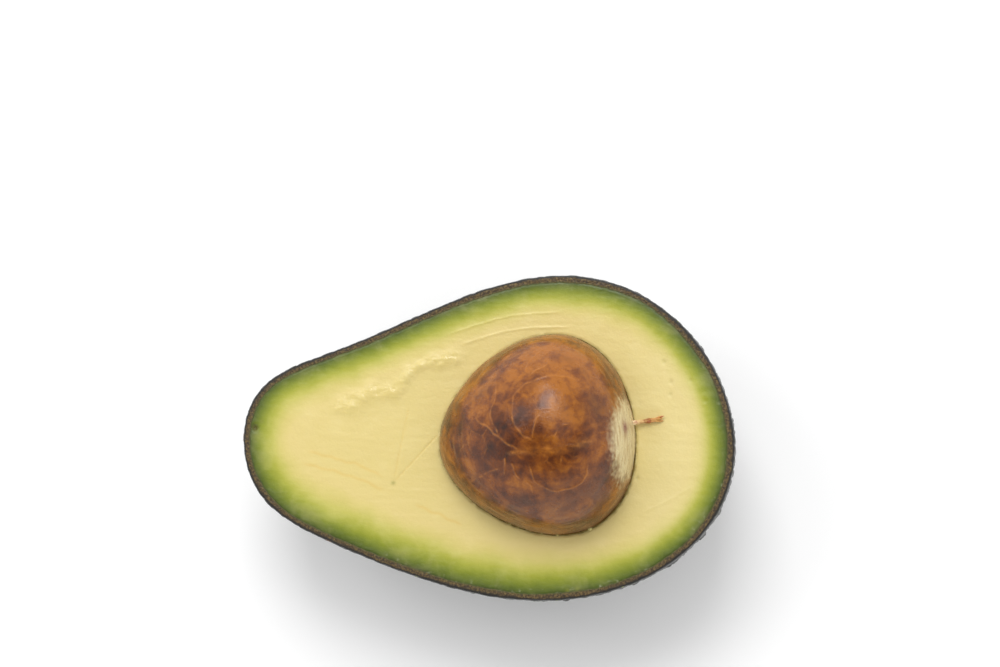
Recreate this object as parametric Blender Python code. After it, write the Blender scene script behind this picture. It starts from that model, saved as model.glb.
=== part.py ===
"""Half of an avocado, cut lengthways, with the seed still in its socket.

The half lies on its rounded back, on a small flat spot, with the cut face up.
Units are metres. +X points to the broad end and +Z up. The origin is at the middle of the underside.

The whole fruit is a round body along X. Its length, girth and slight bend come from one formula in
an angle that runs from the broad end (0) to the stem end (pi), and a level plane cuts it.
"""

import math

import bmesh
import bpy
from mathutils import Vector

# The whole fruit, before the cut. The terms multiply 1, cos(a), cos(2a) and so on.
# It is a little flatter from top to bottom than across, and its neck is fuller in that direction.
FRUIT_HALF_LENGTH = 0.0504
WIDTH_TERMS = (0.0321, 0.0056, 0.0017, -0.0025, 0.0008, -0.0002)
DEPTH_TERMS = (0.0314, 0.0050, 0.0003, -0.0006)
BEND_TERMS = (-0.0009, 0.0013, -0.0004, -0.0011, 0.0001)

# The cut runs a little above the fruit's own axis. The belly is trimmed to the flat spot it rests on.
CUT_ABOVE_AXIS = 0.0024
REST_TRIM = 0.0006

PEEL_THICKNESS = 0.0016
GAP = 0.0003

# The seed is an egg that lies nearly along X, turned a little: its blunt end faces the broad end.
SEED_CENTRE_X = 0.0105
SEED_CENTRE_Y = 0.0
SEED_ABOVE_CUT = 0.0002
SEED_HALF_LENGTH = 0.0198
SEED_GIRTH_TERMS = (0.0197, 0.0044)
SEED_TURN = math.radians(10)
SOCKET_CLEARANCE = 0.0004

# The strand that fed the seed lies on the flesh, from the seed's blunt end outwards.
STRAND_LENGTH = 0.0055
STRAND_CLEARANCE = 0.0005
STRAND_RADIUS = 0.0006
STRAND_TAPER = 0.35
STRAND_RISE = 0.0006
STRAND_DRIFT_Y = 0.0012

# The corky plug of the stem sits in the peel at the narrow end, just below the cut.
SCAR_RADIUS = 0.0030
SCAR_BELOW_CUT = 0.0028
SCAR_BAR_LENGTH = 0.010

# How finely the curved faces are divided.
BODY_ROWS = 34
BODY_COLUMNS = 24
CAP_ROWS = 3
SEED_ROWS = 22
SEED_COLUMNS = 26
STRAND_SIDES = 10
STRAND_STEPS = 6
SCAR_SIDES = 20
MERGE_DISTANCE = 0.000002
SLOPE_STEP = 0.0005
HALVINGS = 50
SHARP_ANGLE = math.radians(35)


def clear_scene():
    for item in list(bpy.data.objects):
        bpy.data.objects.remove(item, do_unlink=True)


def cosine_sum(terms, angle):
    return sum(term * math.cos(k * angle) for k, term in enumerate(terms))


def body_outline(angle, half_length, terms):
    """X and radius, at one angle, of a body closed at both ends."""
    return half_length * math.cos(angle), math.sin(angle) * cosine_sum(terms, angle)


def inset_outline(angle, inset, half_length, terms):
    """The same outline moved inwards by inset, square to its own surface."""
    x, radius = body_outline(angle, half_length, terms)
    x_after, radius_after = body_outline(angle + SLOPE_STEP, half_length, terms)
    x_before, radius_before = body_outline(angle - SLOPE_STEP, half_length, terms)
    along = Vector((x_after - x_before, radius_after - radius_before)).normalized()
    return x - inset * along.y, radius + inset * along.x


def fruit_section(angle, inset):
    """X, radius across and radius downwards of the fruit's oval section at this angle."""
    x, across = inset_outline(angle, inset, FRUIT_HALF_LENGTH, WIDTH_TERMS)
    _, down = inset_outline(angle, inset, FRUIT_HALF_LENGTH, DEPTH_TERMS)
    return x, across, down


def fruit_bend(angle):
    """How far the fruit's axis is off the X axis at this angle."""
    return cosine_sum(BEND_TERMS, angle)


def fruit_limits():
    """The belly's depth and the middle of the fruit's width, both from a fine walk along it."""
    steps = 2000
    angles = [math.pi * i / steps for i in range(steps + 1)]
    sections = [fruit_section(angle, 0.0) for angle in angles]
    high = max(fruit_bend(angle) + across for angle, (_, across, _) in zip(angles, sections))
    low = min(fruit_bend(angle) - across for angle, (_, across, _) in zip(angles, sections))
    return max(down for _, _, down in sections), (high + low) / 2


BELLY_DEPTH, MIDDLE_Y = fruit_limits()
CUT_HEIGHT = CUT_ABOVE_AXIS + BELLY_DEPTH - REST_TRIM


def angle_where_cut_starts(inset, end_angle):
    """The angle near one end at which the body just reaches up to the cut."""
    inner, outer = math.pi / 2, end_angle
    for _ in range(HALVINGS):
        middle = (inner + outer) / 2
        if fruit_section(middle, inset)[2] > CUT_ABOVE_AXIS:
            inner = middle
        else:
            outer = middle
    return (inner + outer) / 2


def station_angles(inset):
    """Angles of the rows: a few close the broad end, most span the cut, a few close the stem end."""
    first = angle_where_cut_starts(inset, 0.0)
    last = angle_where_cut_starts(inset, math.pi)
    closing = [first * i / CAP_ROWS for i in range(CAP_ROWS)]
    spanning = []
    for i in range(BODY_ROWS + 1):
        share = i / BODY_ROWS
        eased = (share + (1 - math.cos(math.pi * share)) / 2) / 2
        spanning.append(first + (last - first) * eased)
    opening = [math.pi - (math.pi - last) * i / CAP_ROWS for i in reversed(range(CAP_ROWS))]
    return closing + spanning + opening


def fruit_surface(mesh, inset):
    """Rows of vertices over the half's curved side, from the +Y rim round below to the -Y rim."""
    rows = []
    for angle in station_angles(inset):
        x, across, down = fruit_section(angle, inset)
        lift = math.asin(CUT_ABOVE_AXIS / max(down, CUT_ABOVE_AXIS))
        row = []
        for j in range(BODY_COLUMNS + 1):
            turn = -lift + (math.pi + 2 * lift) * j / BODY_COLUMNS
            y = fruit_bend(angle) - MIDDLE_Y + across * math.cos(turn)
            z = CUT_HEIGHT - CUT_ABOVE_AXIS - down * math.sin(turn)
            row.append(mesh.verts.new((x, y, z)))
        rows.append(row)
    return rows


def skin_rows(mesh, rows):
    for near, far in zip(rows, rows[1:]):
        for j in range(len(near) - 1):
            mesh.faces.new((near[j], near[j + 1], far[j + 1], far[j]))


def rim_rows(rows):
    """The rows that reach the cut, from the broad end's tip to the stem end's."""
    return rows[CAP_ROWS : CAP_ROWS + BODY_ROWS + 1]


def tidy_mesh(mesh):
    bmesh.ops.remove_doubles(mesh, verts=mesh.verts, dist=MERGE_DISTANCE)
    bmesh.ops.dissolve_degenerate(mesh, edges=mesh.edges, dist=MERGE_DISTANCE)
    bmesh.ops.recalc_face_normals(mesh, faces=mesh.faces)


def add_object(name, mesh, material=None):
    data = bpy.data.meshes.new(name)
    mesh.to_mesh(data)
    mesh.free()
    data.shade_smooth()
    data.set_sharp_from_angle(angle=SHARP_ANGLE)
    if material:
        data.materials.append(material)
    item = bpy.data.objects.new(name, data)
    bpy.context.scene.collection.objects.link(item)
    return item


def make_material(name, colour, roughness):
    material = bpy.data.materials.new(name)
    material.use_nodes = True
    shader = material.node_tree.nodes["Principled BSDF"]
    shader.inputs["Base Color"].default_value = (*colour, 1.0)
    shader.inputs["Roughness"].default_value = roughness
    shader.inputs["Metallic"].default_value = 0.0
    return material


def apply_boolean(item, cutter, operation):
    """Cuts item with cutter for good, and removes the cutter."""
    cutter.hide_render = True
    cutter.display_type = "WIRE"
    modifier = item.modifiers.new(operation.lower(), "BOOLEAN")
    modifier.operation = operation
    modifier.solver = "EXACT"
    modifier.object = cutter
    graph = bpy.context.evaluated_depsgraph_get()
    cut = bpy.data.meshes.new_from_object(item.evaluated_get(graph))
    item.modifiers.remove(modifier)
    item.data = cut
    bpy.data.objects.remove(cutter, do_unlink=True)


def trim_to_rest(mesh):
    """Slices the belly off level at z = 0 and closes the slice with one flat face."""
    everything = list(mesh.verts) + list(mesh.edges) + list(mesh.faces)
    cut = bmesh.ops.bisect_plane(
        mesh, geom=everything, plane_co=(0, 0, 0), plane_no=(0, 0, -1), clear_outer=True
    )
    border = [part for part in cut["geom_cut"] if isinstance(part, bmesh.types.BMEdge)]
    bmesh.ops.holes_fill(mesh, edges=border, sides=0)
    bmesh.ops.recalc_face_normals(mesh, faces=mesh.faces)


def peel_mesh():
    """The skin: an outer and an inner side, joined round the cut by a narrow level rim."""
    mesh = bmesh.new()
    outside = fruit_surface(mesh, 0.0)
    inside = fruit_surface(mesh, PEEL_THICKNESS)
    skin_rows(mesh, outside)
    skin_rows(mesh, inside)
    outer_rim, inner_rim = rim_rows(outside), rim_rows(inside)
    for side in (0, -1):
        for i in range(BODY_ROWS):
            near, far = outer_rim[i][side], outer_rim[i + 1][side]
            mesh.faces.new((near, far, inner_rim[i + 1][side], inner_rim[i][side]))
    tidy_mesh(mesh)
    trim_to_rest(mesh)
    return mesh


def scar_cutter(name, radius):
    """A round bar through the peel at the stem end, along X."""
    mesh = bmesh.new()
    bmesh.ops.create_cone(
        mesh,
        cap_ends=True,
        segments=SCAR_SIDES,
        radius1=radius,
        radius2=radius,
        depth=SCAR_BAR_LENGTH,
    )
    cutter = add_object(name, mesh)
    cutter.rotation_euler = (0, math.pi / 2, 0)
    stem_y = fruit_bend(math.pi) - MIDDLE_Y
    cutter.location = (-FRUIT_HALF_LENGTH, stem_y, CUT_HEIGHT - SCAR_BELOW_CUT)
    return cutter


def make_peel():
    skin = make_material("peel_skin", (0.035, 0.037, 0.022), 0.45)
    peel = add_object("peel", peel_mesh(), skin)
    apply_boolean(peel, scar_cutter("scar_hole", SCAR_RADIUS + GAP), "DIFFERENCE")
    return peel


def make_stem_scar():
    """The plug is the piece of peel that a slightly narrower bar would cut out."""
    cork = make_material("scar_cork", (0.16, 0.10, 0.055), 0.85)
    scar = add_object("stem_scar", peel_mesh(), cork)
    apply_boolean(scar, scar_cutter("scar_bar", SCAR_RADIUS), "INTERSECT")
    return scar


def flesh_mesh():
    mesh = bmesh.new()
    rows = fruit_surface(mesh, PEEL_THICKNESS + GAP)
    skin_rows(mesh, rows)
    rim = rim_rows(rows)
    lid = [row[0] for row in rim] + [row[-1] for row in reversed(rim[1:-1])]
    for tip in (rim[0], rim[-1]):
        bmesh.ops.weld_verts(mesh, targetmap={tip[-1]: tip[0]})
    mesh.faces.new(lid)
    tidy_mesh(mesh)
    return mesh


def seed_mesh(grow):
    """The egg of the seed, made larger all over by grow."""
    mesh = bmesh.new()
    rows = []
    for i in range(SEED_ROWS + 1):
        angle = math.pi * i / SEED_ROWS
        x, radius = inset_outline(angle, -grow, SEED_HALF_LENGTH, SEED_GIRTH_TERMS)
        row = []
        for j in range(SEED_COLUMNS):
            turn = 2 * math.pi * j / SEED_COLUMNS
            row.append(mesh.verts.new((x, radius * math.cos(turn), radius * math.sin(turn))))
        rows.append(row + [row[0]])
    skin_rows(mesh, rows)
    tidy_mesh(mesh)
    return mesh


def place_in_socket(item):
    item.rotation_euler = (0, 0, SEED_TURN)
    item.location = (SEED_CENTRE_X, SEED_CENTRE_Y, CUT_HEIGHT + SEED_ABOVE_CUT)


def make_flesh():
    pulp = make_material("flesh_pulp", (0.72, 0.62, 0.27), 0.4)
    flesh = add_object("flesh", flesh_mesh(), pulp)
    socket = add_object("socket", seed_mesh(SOCKET_CLEARANCE))
    place_in_socket(socket)
    apply_boolean(flesh, socket, "DIFFERENCE")
    return flesh


def make_seed():
    shell = make_material("seed_coat", (0.26, 0.11, 0.025), 0.35)
    seed = add_object("seed", seed_mesh(0.0), shell)
    place_in_socket(seed)
    return seed


def make_strand():
    """A short tapering strand that bends as it lies over the flesh, fat end at the seed."""
    start_x = SEED_CENTRE_X + SEED_HALF_LENGTH * math.cos(SEED_TURN) + STRAND_CLEARANCE
    start_y = SEED_CENTRE_Y + SEED_HALF_LENGTH * math.sin(SEED_TURN)
    level = CUT_HEIGHT + GAP + STRAND_RADIUS
    curve = bpy.data.curves.new("seed_strand", "CURVE")
    curve.dimensions = "3D"
    curve.bevel_depth = STRAND_RADIUS
    curve.bevel_resolution = (STRAND_SIDES - 4) // 2
    curve.use_fill_caps = True
    line = curve.splines.new("POLY")
    line.points.add(STRAND_STEPS)
    for i, point in enumerate(line.points):
        share = i / STRAND_STEPS
        x = start_x + STRAND_LENGTH * share
        y = start_y + STRAND_DRIFT_Y * share * share
        z = level + STRAND_RISE * (1 - share) ** 2
        point.co = (x, y, z, 1.0)
        point.radius = 1.0 - STRAND_TAPER * share
    strand = bpy.data.objects.new("seed_strand", curve)
    bpy.context.scene.collection.objects.link(strand)
    curve.materials.append(make_material("strand_fibre", (0.55, 0.33, 0.12), 0.7))
    return strand


def main():
    clear_scene()
    make_peel()
    make_stem_scar()
    make_flesh()
    make_seed()
    make_strand()


main()
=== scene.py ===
"""Looks of an avocado half with its seed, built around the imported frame.

Every shape is worked out in millimetres as numpy arrays and becomes metres when its mesh is made.
Each piece is a closed shell made of rings of points, from a point at one end to a point at the other.
"""

import itertools
import math

import bpy
import numpy as np
from mathutils import Matrix, Vector


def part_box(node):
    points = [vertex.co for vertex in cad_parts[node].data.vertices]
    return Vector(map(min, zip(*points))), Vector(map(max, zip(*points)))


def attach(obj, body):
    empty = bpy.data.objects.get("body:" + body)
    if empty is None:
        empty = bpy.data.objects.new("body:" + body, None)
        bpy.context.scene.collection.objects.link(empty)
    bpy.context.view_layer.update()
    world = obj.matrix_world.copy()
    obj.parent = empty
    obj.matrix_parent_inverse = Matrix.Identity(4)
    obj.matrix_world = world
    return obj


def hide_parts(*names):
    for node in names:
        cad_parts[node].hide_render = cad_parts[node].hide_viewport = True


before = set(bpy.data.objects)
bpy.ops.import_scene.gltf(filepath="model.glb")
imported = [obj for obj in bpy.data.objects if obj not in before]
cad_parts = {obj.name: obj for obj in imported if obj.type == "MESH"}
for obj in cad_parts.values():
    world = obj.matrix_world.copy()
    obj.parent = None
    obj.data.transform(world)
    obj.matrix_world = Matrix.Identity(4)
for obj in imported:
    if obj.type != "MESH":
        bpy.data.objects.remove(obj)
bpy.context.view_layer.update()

MM = 0.001

# The fruit before the cut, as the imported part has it.
FRUIT_HALF_LENGTH = 50.4
WIDTH_TERMS = (32.1, 5.6, 1.7, -2.5, 0.8, -0.2)
DEPTH_TERMS = (31.4, 5.0, 0.3, -0.6)
BEND_TERMS = (-0.9, 1.3, -0.4, -1.1, 0.1)
CUT_ABOVE_AXIS = 2.4
PEEL_THICKNESS = 1.6
SEED_CENTRE = np.array([10.5, 0.0, 0.2])
SEED_HALF_LENGTH = 19.8
SEED_GIRTH_TERMS = (19.7, 4.4)
SEED_TURN = math.radians(10)
SCAR_BELOW_CUT = 2.8

CUT_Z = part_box("flesh")[1].z / MM
SEED_CENTRE[2] += CUT_Z
SEED_LOW_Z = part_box("seed")[0].z / MM
STRAND_LOW, STRAND_HIGH = (np.array(corner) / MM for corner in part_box("seed_strand"))

# How finely the pieces are divided: counts of points or rows, and steps in millimetres.
RIM_COUNT = 840
SKIN_STEP = 0.37
RIM_ROWS = 10
FLESH_ROWS = 118
SEED_STEP = 0.195
HIDDEN_STEP = 1.8
FILM_COUNT = 900
REACH_LIMIT = 80.0
REACH_HALVINGS = 28
RING_PROBES = 1200
ROUGH_PROBES = 120

# Rough radii, which turn a step along the surface into an angle.
FRUIT_RADIUS = 33.5
SEED_RADIUS = 20.3

# How high the skin's relief stands, in millimetres, and how calm it is next to the cut.
PEBBLE_HEIGHT = 0.62
SMALL_PEBBLE_HEIGHT = 0.07
SWELL_HEIGHT = 0.20
WRINKLE_HEIGHT = 0.10
CALM_SHARE = 0.24
RIM_DROP = 0.10
RIM_GRAIN = 0.13
RIM_ROUNDING_IN = 0.16
RIM_ROUNDING_DOWN = 0.14

# Relief of the cut flesh, in millimetres.
FLESH_SWELL = 0.10
FLESH_LUMPS = 0.05
FLESH_DRAG = 0.02
RIDGE_HEIGHT = 0.34
ARC_HEIGHT = 0.07
SCRATCH_DEPTH = 0.09
PIT_DEPTH = 0.14
NOTCH_DEPTH = 0.7
GREEN_WIDTH = 7.2
GREEN_WIDTH_LOWER = 2.4

# Relief of the seed, in millimetres.
SEED_SWELL = 0.16
SEED_LUMPS = 0.03
VEIN_HEIGHT = 0.07
STREAK_HEIGHT = 0.03
HILUM_DEPTH = 0.05

# The camera, its distances in metres, and the white studio round it.
CAMERA_DISTANCE = 0.506
CAMERA_LENS = 90.0
CAMERA_LEAN = Vector((0.144, -0.080, 0.986)).normalized()
CAMERA_ROLL = math.radians(1.9)
AIM_RIGHT = 0.0029
AIM_UP = 0.0205
WORLD_LOW = 1.45
WORLD_HIGH = 0.26
FLOOR_SIZE = 6.0

# Each light: its direction (to the camera's right, up and back), distance and size in metres, and watts.
LIGHTS = (
    ("overhead", (0.16, 0.34, 0.92), 1.2, 0.9, 2.8),
    ("key", (-0.13, 0.64, 0.76), 1.0, 0.46, 4.6),
    ("side", (-0.63, 0.36, 0.62), 1.0, 0.4, 1.3),
)


# ---------------------------------------------------------------- noise

def lattice(cell, seed):
    """A repeatable random number from 0 to 1 for each whole-number place in space."""
    n = cell.astype(np.int64).astype(np.uint32)
    mixed = n[:, 0] * np.uint32(73856093) ^ n[:, 1] * np.uint32(19349663) ^ n[:, 2] * np.uint32(83492791)
    mixed ^= np.uint32((seed * 2654435761) % 2**32)
    mixed ^= mixed >> np.uint32(16)
    mixed *= np.uint32(0x7FEB352D)
    mixed ^= mixed >> np.uint32(15)
    mixed *= np.uint32(0x846CA68B)
    mixed ^= mixed >> np.uint32(16)
    return mixed / 2.0**32


def noise(points, size, seed):
    """Smooth noise, about -1 to 1, with features about size across (one number, or one per axis)."""
    place = points / size
    cell = np.floor(place)
    inside = place - cell
    fade = inside**3 * (inside * (inside * 6 - 15) + 10)
    total = np.zeros(len(points))
    for corner in itertools.product((0, 1), repeat=3):
        corner = np.array(corner)
        weight = np.prod(np.where(corner, fade, 1 - fade), axis=1)
        slope = np.stack([lattice(cell + corner, seed + k) for k in (0, 101, 202)], axis=1) * 2 - 1
        total += weight * np.sum(slope * (inside - corner), axis=1)
    return total * 1.7


def fbm(points, size, seed, octaves=4, gain=0.5):
    total, weight, whole = 0.0, 1.0, 0.0
    for k in range(octaves):
        total = total + weight * noise(points, np.asarray(size) / 2**k, seed + 17 * k)
        whole += weight
        weight *= gain
    return total / whole


def cells(points, size, seed):
    """Distances to the nearest and second nearest scattered point, and a random number of the nearest."""
    place = points / size
    base = np.floor(place)
    first = np.full(len(points), 9.0)
    second = np.full(len(points), 9.0)
    tag = np.zeros(len(points))
    for offset in itertools.product((-1, 0, 1), repeat=3):
        cell = base + np.array(offset)
        spot = cell + np.stack([lattice(cell, seed + k) for k in (0, 31, 62)], axis=1)
        distance = np.sqrt(np.sum((spot - place) ** 2, axis=1))
        closer = distance < first
        second = np.where(closer, first, np.minimum(second, distance))
        tag = np.where(closer, lattice(cell, seed + 93), tag)
        first = np.where(closer, distance, first)
    return first, second, tag


def smooth(value, low, high):
    """0 below low, 1 above high and a soft step between."""
    share = np.clip((value - low) / (high - low), 0, 1)
    return share * share * (3 - 2 * share)


# ---------------------------------------------------------------- the round bodies

ANGLES = np.linspace(0, math.pi, 4001)


def cosine_sum(terms, angle):
    return sum(term * np.cos(k * angle) for k, term in enumerate(terms))


def outline(half_length, terms, inset):
    """X and radius along a body closed at both ends, moved inwards by inset."""
    x = half_length * np.cos(ANGLES)
    radius = np.sin(ANGLES) * cosine_sum(terms, ANGLES)
    along = np.stack([np.gradient(x), np.gradient(radius)])
    along /= np.hypot(*along)
    return x - inset * along[1], radius + inset * along[0]


BEND = cosine_sum(BEND_TERMS, ANGLES)
ACROSS = outline(FRUIT_HALF_LENGTH, WIDTH_TERMS, 0.0)[1]
BEND = BEND - (np.max(BEND + ACROSS) + np.min(BEND - ACROSS)) / 2
AXIS_Z = CUT_Z - CUT_ABOVE_AXIS


def fruit_body(inset):
    x, across = outline(FRUIT_HALF_LENGTH, WIDTH_TERMS, inset)
    down = outline(FRUIT_HALF_LENGTH, DEPTH_TERMS, inset)[1]
    return [row[::-1] for row in (x, BEND, np.full_like(x, AXIS_Z), across, down)]


def seed_body():
    """The seed in its own frame: centred, not turned."""
    x, girth = outline(SEED_HALF_LENGTH, SEED_GIRTH_TERMS, 0.0)
    return [row[::-1] for row in (x, 0 * x, 0 * x, girth, girth)]


def turned(points, angle):
    c, s = math.cos(angle), math.sin(angle)
    return points @ np.array([[c, s, 0], [-s, c, 0], [0, 0, 1]])


def seed_reach(directions):
    """Where lines from the seed's centre leave the seed, in the part's frame."""
    ends = reach(SEED, np.zeros(3), turned(directions, -SEED_TURN))
    return turned(ends, SEED_TURN) + SEED_CENTRE


def outside(body, points):
    """Above 0 for points outside the body, below 0 inside."""
    x, y, z, across, down = body
    at = points[:, 0]
    sideways = (points[:, 1] - np.interp(at, x, y)) / np.maximum(np.interp(at, x, across), 1e-6)
    upright = (points[:, 2] - np.interp(at, x, z)) / np.maximum(np.interp(at, x, down), 1e-6)
    return sideways**2 + upright**2 - 1


def reach(body, origin, directions):
    """Where lines from an origin inside the body leave it."""
    near = np.zeros(len(directions))
    far = np.full(len(directions), REACH_LIMIT)
    for _ in range(REACH_HALVINGS):
        middle = (near + far) / 2
        inner = outside(body, origin + directions * middle[:, None]) < 0
        near = np.where(inner, middle, near)
        far = np.where(inner, far, middle)
    return origin + directions * near[:, None]


def compass(heading, elevation):
    """Unit vectors from a heading round +Z and an elevation above the level."""
    level = np.cos(elevation)
    rise = np.sin(elevation) + 0 * heading
    return np.stack([np.cos(heading) * level, np.sin(heading) * level, rise], axis=1)


def even_ring(body, origin, elevation, count, probes=RING_PROBES):
    """Evenly spaced points round a body at one elevation seen from origin, counter-clockwise from +X."""
    heading = np.linspace(0, 2 * math.pi, probes + 1)
    path = reach(body, origin, compass(heading, elevation))
    run = np.concatenate([[0], np.cumsum(np.linalg.norm(np.diff(path, axis=0), axis=1))])
    spaced = np.interp(np.arange(count) / count * run[-1], run, heading)
    return reach(body, origin, compass(spaced, elevation)), run[-1]


def ring_of_step(body, origin, elevation, step):
    _, length = even_ring(body, origin, elevation, 3, ROUGH_PROBES)
    return even_ring(body, origin, elevation, max(8, round(length / step)))[0]


def pole(body, origin, elevation):
    return reach(body, origin, compass(np.zeros(1), elevation))


FRUIT = fruit_body(0.0)
SEED = seed_body()
FRUIT_ORIGIN = np.array([1.0, 0.0, CUT_Z])


# ---------------------------------------------------------------- shells and meshes

def shell(rings):
    """Triangles that join each ring to the next, for rings that widen and then run downwards and close."""
    faces, first = [], 0
    for near, far in zip(rings, rings[1:]):
        a, b, start_a, start_b = len(near), len(far), first, first + len(near)
        i, j = np.arange(a), np.arange(b)
        if a > 1:
            apex = (-((a - (2 * i + 1) * b) // (2 * a))) % b
            faces.append(np.stack([start_a + (i + 1) % a, start_a + i, start_b + apex], axis=1))
        if b > 1:
            apex = ((2 * j + 1) * a + b) // (2 * b) % a
            faces.append(np.stack([start_b + j, start_b + (j + 1) % b, start_a + apex], axis=1))
        first = start_b
    return np.concatenate(faces)


def normals_of(points, faces):
    corner = points[faces]
    across = np.cross(corner[:, 1] - corner[:, 0], corner[:, 2] - corner[:, 0])
    total = np.stack(
        [
            sum(np.bincount(faces[:, k], across[:, axis], len(points)) for k in range(3))
            for axis in range(3)
        ],
        axis=1,
    )
    return total / np.maximum(np.linalg.norm(total, axis=1), 1e-12)[:, None]


def make_piece(name, points, faces, material, slot, node, **attributes):
    """One visible piece on the root body, standing for a CAD node."""
    mesh = bpy.data.meshes.new(name)
    mesh.from_pydata((points * MM).tolist(), [], faces.tolist())
    mesh.validate()
    mesh.shade_smooth()
    for label, values in attributes.items():
        layer = mesh.attributes.new(label, "FLOAT", "POINT")
        layer.data.foreach_set("value", np.asarray(values, np.float32))
    mesh.materials.append(material)
    piece = bpy.data.objects.new(name, mesh)
    bpy.context.scene.collection.objects.link(piece)
    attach(piece, "root")
    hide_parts(node)
    return piece


# ---------------------------------------------------------------- materials

def srgb(*colour):
    """A display colour of 0 to 255 as the linear colour that shaders use."""
    share = np.array(colour) / 255
    linear = np.where(share <= 0.04045, share / 12.92, ((share + 0.055) / 1.055) ** 2.4)
    return tuple(float(channel) for channel in linear)


class Graph:
    """Short ways to put shader nodes into one material. Texture places are in millimetres."""

    def __init__(self, name, **shader):
        self.material = bpy.data.materials.new(name)
        self.material.use_nodes = True
        self.tree = self.material.node_tree
        self.shader = self.tree.nodes["Principled BSDF"]
        for socket, value in shader.items():
            self.put(self.shader.inputs[socket.replace("_", " ")], value)
        self.place = self.stretch((1, 1, 1))

    def put(self, socket, value):
        if isinstance(value, bpy.types.NodeSocket):
            self.tree.links.new(value, socket)
        elif socket.type == "RGBA":
            socket.default_value = (*value[:3], 1.0)
        else:
            socket.default_value = value

    def node(self, kind, inputs, **settings):
        made = self.tree.nodes.new(kind)
        for key, value in settings.items():
            setattr(made, key, value)
        for key, value in inputs.items():
            self.put(made.inputs[key], value)
        return made

    def stretch(self, sizes):
        """Object places in millimetres, squeezed so that texture features grow by these sizes per axis."""
        source = self.node("ShaderNodeTexCoord", {}).outputs["Object"]
        scale = tuple(1 / MM / size for size in sizes)
        return self.node("ShaderNodeMapping", {"Vector": source, "Scale": scale}).outputs["Vector"]

    def attribute(self, name):
        return self.node("ShaderNodeAttribute", {}, attribute_name=name).outputs["Fac"]

    def noise(self, size, detail=3.0, roughness=0.5, distortion=0.0, place=None):
        inputs = {
            "Vector": place or self.place,
            "Scale": 1 / size,
            "Detail": detail,
            "Roughness": roughness,
            "Distortion": distortion,
        }
        return self.node("ShaderNodeTexNoise", inputs).outputs["Fac"]

    def cells(self, size, place=None):
        inputs = {"Vector": place or self.place, "Scale": 1 / size}
        return self.node("ShaderNodeTexVoronoi", inputs).outputs["Distance"]

    def ramp(self, value, *stops):
        made = self.node("ShaderNodeValToRGB", {"Fac": value})
        ramp = made.color_ramp
        while len(ramp.elements) < len(stops):
            ramp.elements.new(0.5)
        for element, (position, colour) in zip(ramp.elements, stops):
            element.position = position
            element.color = (*colour, 1.0)
        return made.outputs["Color"]

    def mix(self, share, first, second):
        made = self.node("ShaderNodeMix", {}, data_type="RGBA")
        self.put(made.inputs[0], share)
        self.put(made.inputs[6], first)
        self.put(made.inputs[7], second)
        return made.outputs[2]

    def math(self, operation, first, second=0.0):
        made = self.node("ShaderNodeMath", {}, operation=operation)
        self.put(made.inputs[0], first)
        self.put(made.inputs[1], second)
        return made.outputs[0]

    def span(self, value, low, high, to_low=0.0, to_high=1.0):
        """A soft step from to_low at low to to_high at high."""
        inputs = {"Value": value, "From Min": low, "From Max": high, "To Min": to_low, "To Max": to_high}
        made = self.node("ShaderNodeMapRange", inputs, interpolation_type="SMOOTHSTEP")
        return made.outputs["Result"]

    def finish(self, colour, roughness, height=None, depth=0.1, strength=0.6):
        """Colour, roughness and, from a height of 0 to 1 that is depth millimetres high, fine bumps."""
        self.put(self.shader.inputs["Base Color"], colour)
        self.put(self.shader.inputs["Roughness"], roughness)
        if height is not None:
            inputs = {"Height": height, "Distance": depth * MM, "Strength": strength}
            self.put(self.shader.inputs["Normal"], self.node("ShaderNodeBump", inputs).outputs["Normal"])
        return self.material


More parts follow.
